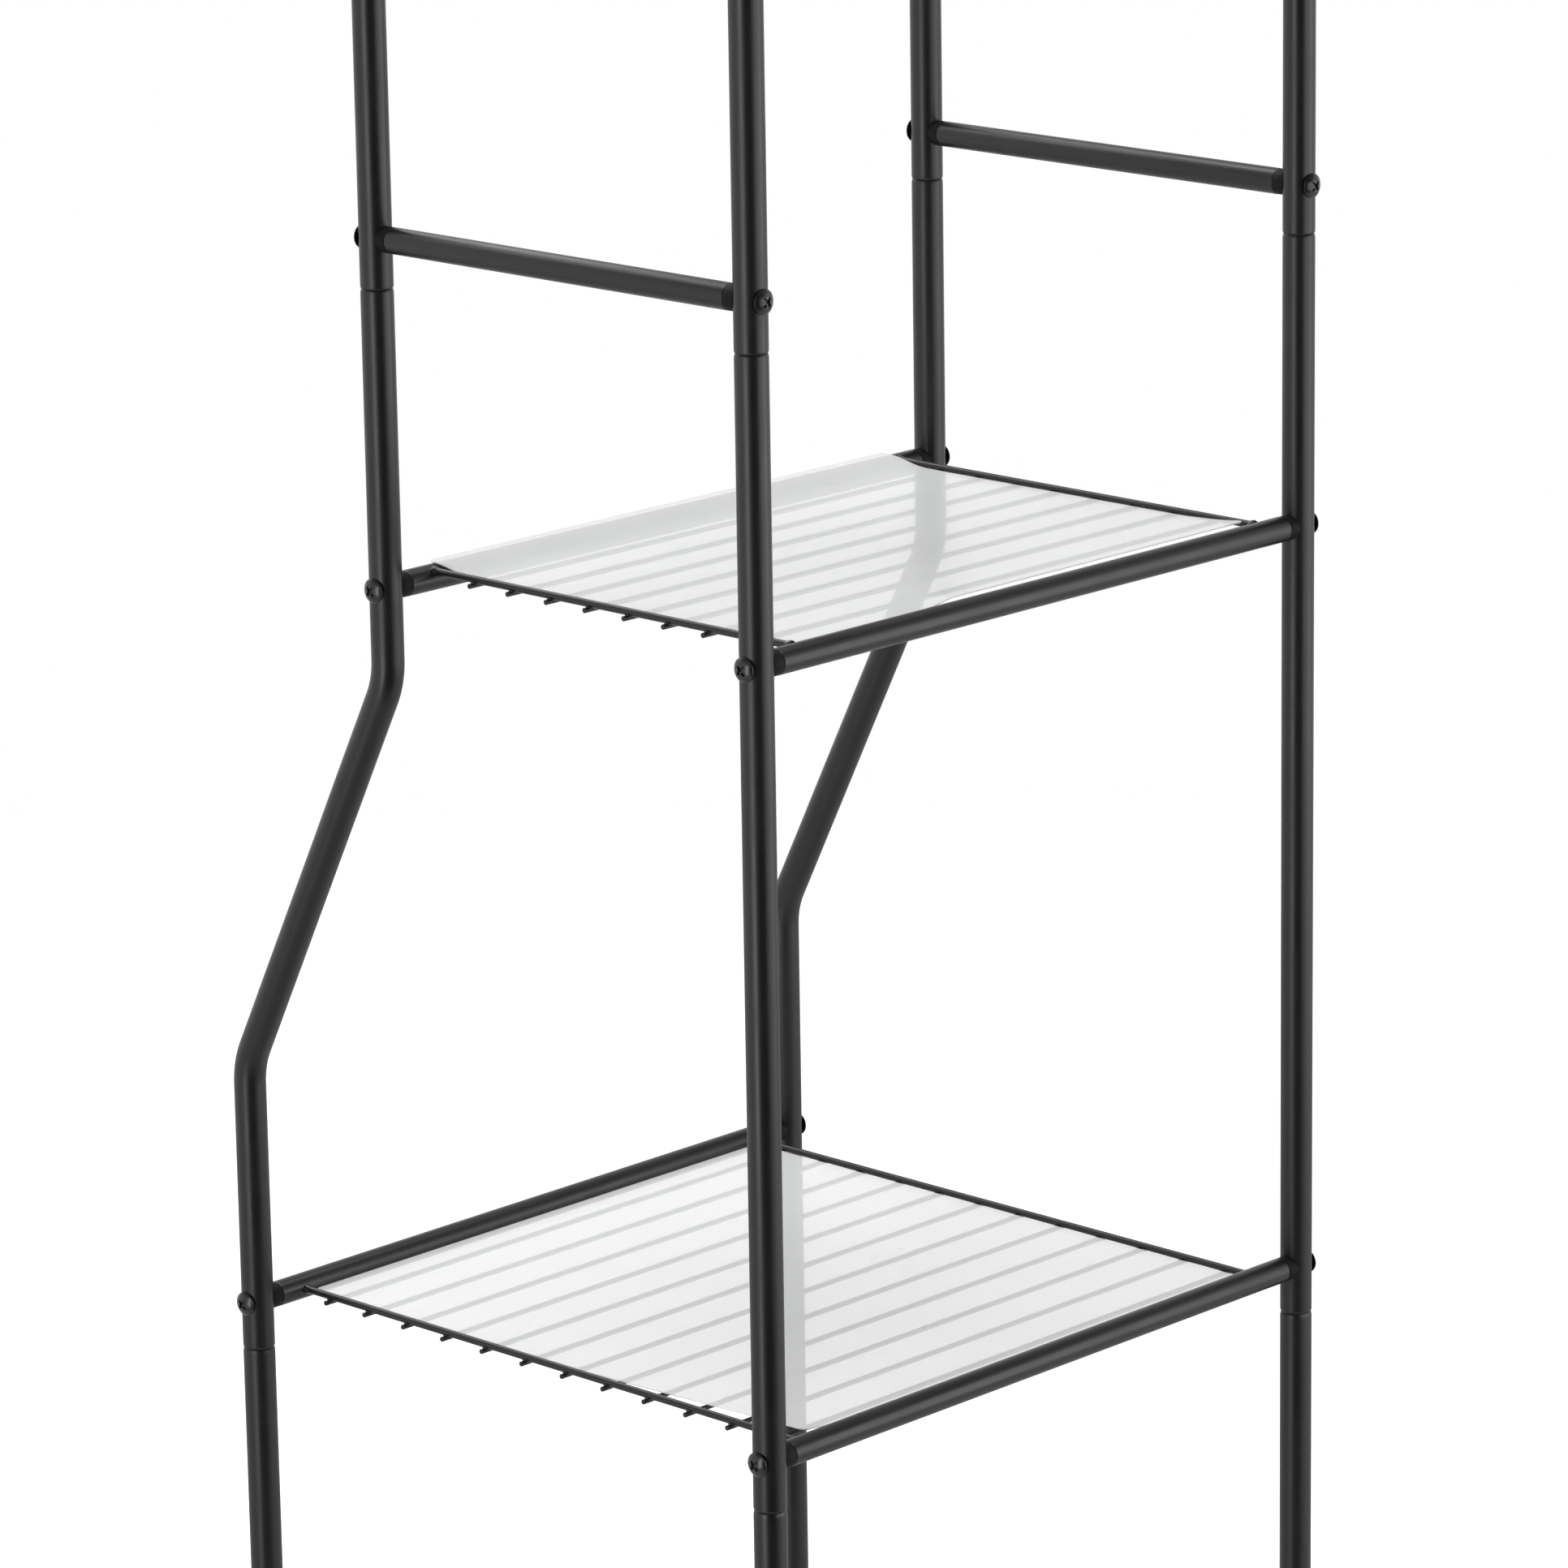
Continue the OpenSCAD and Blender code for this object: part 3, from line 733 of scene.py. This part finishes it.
def makeCamera():
    pitch, roll = math.radians(view["pitch"]), math.radians(view["roll"])
    back = compass(0) * math.cos(pitch) + np.array([0, 0, math.sin(pitch)])
    right = compass(90)
    up = np.cross(back, right)
    tilted = right * math.cos(roll) - up * math.sin(roll)
    upright = np.cross(back, tilted)
    place = rackMiddle + np.array(view["aim"]) + back * view["distance"]
    camera = bpy.data.objects.new("camera", bpy.data.cameras.new("camera"))
    camera.data.lens = view["lens"]
    camera.data.sensor_width = 36
    turned = np.column_stack([tilted, upright, back, place])
    camera.matrix_world = Matrix([*turned.tolist(), [0, 0, 0, 1]])
    bpy.context.scene.collection.objects.link(camera)
    bpy.context.scene.camera = camera


studio = {
    "floorHalf": 2.6,       # metres
    "floorBack": 1.5,       # how far its middle lies behind the rack
    "floorGlow": 0.75,      # added to the eye only, so that the paper is as white as the walls
    "worldLight": 0.9,     # the walls
    "ceilingLight": 0.15,
    "darkTurn": 25,         # degrees right of the camera, where the studio is unlit
    # name: degrees right of the camera, height, distance, width, tall, brightness
    "softboxes": {
        "right_softbox": (68, 1.2, 2.6, 3.0, 2.0, 2.0),
        "left_strip": (-36, 1.0, 3.0, 0.9, 2.6, 3.4),
        "back_left_softbox": (-140, 3.4, 2.6, 2.4, 2.4, 2.4),
        "top_softbox": (180, 4.2, 0.2, 3.0, 3.0, 3.8),
    },
}


def makeSoftbox(name, turn, height, distance, width, tall, brightness):
    # A rectangle of light aimed at the rack. A flat lamp's power is pi * area * brightness.
    place = rackMiddle * [1, 1, 0] + compass(turn) * distance + np.array([0, 0, height])
    lamp = bpy.data.lights.new(name, "AREA")
    lamp.shape = "RECTANGLE"
    lamp.size, lamp.size_y = width, tall
    lamp.energy = math.pi * width * tall * brightness
    box = bpy.data.objects.new(name, lamp)
    aim = Vector(rackMiddle + np.array([0, 0, 0.2])) - Vector(place)
    box.matrix_world = Matrix.Translation(place) @ aim.to_track_quat("-Z", "Y").to_matrix().to_4x4()
    box.visible_camera = False
    bpy.context.scene.collection.objects.link(box)


def makeFloor():
    # Plain pale floor: matt paper with a slight mottle
    half = studio["floorHalf"]
    mesh = bpy.data.meshes.new("floor")
    centre = compass(180) * studio["floorBack"]
    spots = [centre + compass(turn) * half * math.sqrt(2) for turn in (45, 135, 225, 315)]
    mesh.from_pydata([spot.tolist() for spot in spots], [], [(3, 2, 1, 0)])
    floor = bpy.data.objects.new("floor", mesh)
    bpy.context.scene.collection.objects.link(floor)
    material = bpy.data.materials.new("white_studio_paper")
    material.use_nodes = True
    tree = material.node_tree
    place = addNode(tree, "ShaderNodeTexCoord").outputs["Object"]
    mottle = addNode(tree, "ShaderNodeTexNoise", {"Vector": place, "Scale": 4.0, "Detail": 3})
    tone = addNode(tree, "ShaderNodeMix", {
        "Factor": mottle.outputs["Fac"], "A": toLinear("#c8c8c7"), "B": toLinear("#cfcfce")},
        data_type="RGBA")
    principled = tree.nodes["Principled BSDF"]
    tree.links.new(tone.outputs["Result"], principled.inputs["Base Color"])
    principled.inputs["Roughness"].default_value = 0.9
    principled.inputs["Emission Color"].default_value = (1, 1, 1, 1)
    seen = addNode(tree, "ShaderNodeLightPath").outputs["Is Camera Ray"]
    glow = addNode(tree, "ShaderNodeMath", {0: seen, 1: studio["floorGlow"]}, operation="MULTIPLY")
    tree.links.new(glow.outputs["Value"], principled.inputs["Emission Strength"])
    mesh.materials.append(material)


def makeWorld():
    # White all round to the eye. As light it is a pale room that is unlit on one side of the camera.
    world = bpy.data.worlds.new("studio")
    world.use_nodes = True
    bpy.context.scene.world = world
    tree = world.node_tree
    background = tree.nodes["Background"]
    direction = addNode(tree, "ShaderNodeTexCoord").outputs["Generated"]
    towards = addNode(tree, "ShaderNodeVectorMath", {
        0: direction, 1: compass(studio["darkTurn"])}, operation="DOT_PRODUCT")
    share = addNode(tree, "ShaderNodeMapRange", {
        "Value": towards.outputs["Value"], "From Min": 0.35, "From Max": 0.8,
        "To Min": 1.0, "To Max": 0.05},
        interpolation_type="SMOOTHSTEP")
    height = addNode(tree, "ShaderNodeSeparateXYZ", {"Vector": direction}).outputs["Z"]
    ceiling = addNode(tree, "ShaderNodeMapRange", {
        "Value": height, "From Min": 0.35, "From Max": 0.75,
        "To Min": studio["worldLight"], "To Max": studio["ceilingLight"]},
        interpolation_type="SMOOTHSTEP")
    dim = addNode(tree, "ShaderNodeMath", {
        0: share.outputs["Result"], 1: ceiling.outputs["Result"]}, operation="MULTIPLY")
    seen = addNode(tree, "ShaderNodeLightPath").outputs["Is Camera Ray"]
    strength = addNode(tree, "ShaderNodeMix", {
        "Factor": seen, "A": dim.outputs["Value"], "B": 1.0}, data_type="FLOAT")
    background.inputs["Color"].default_value = (1, 1, 1, 1)
    tree.links.new(strength.outputs["Result"], background.inputs["Strength"])


makeCamera()
makeFloor()
makeWorld()
for name, settings in studio["softboxes"].items():
    makeSoftbox(name, *settings)
bpy.context.scene.view_settings.view_transform = "Standard"
print("studio made")
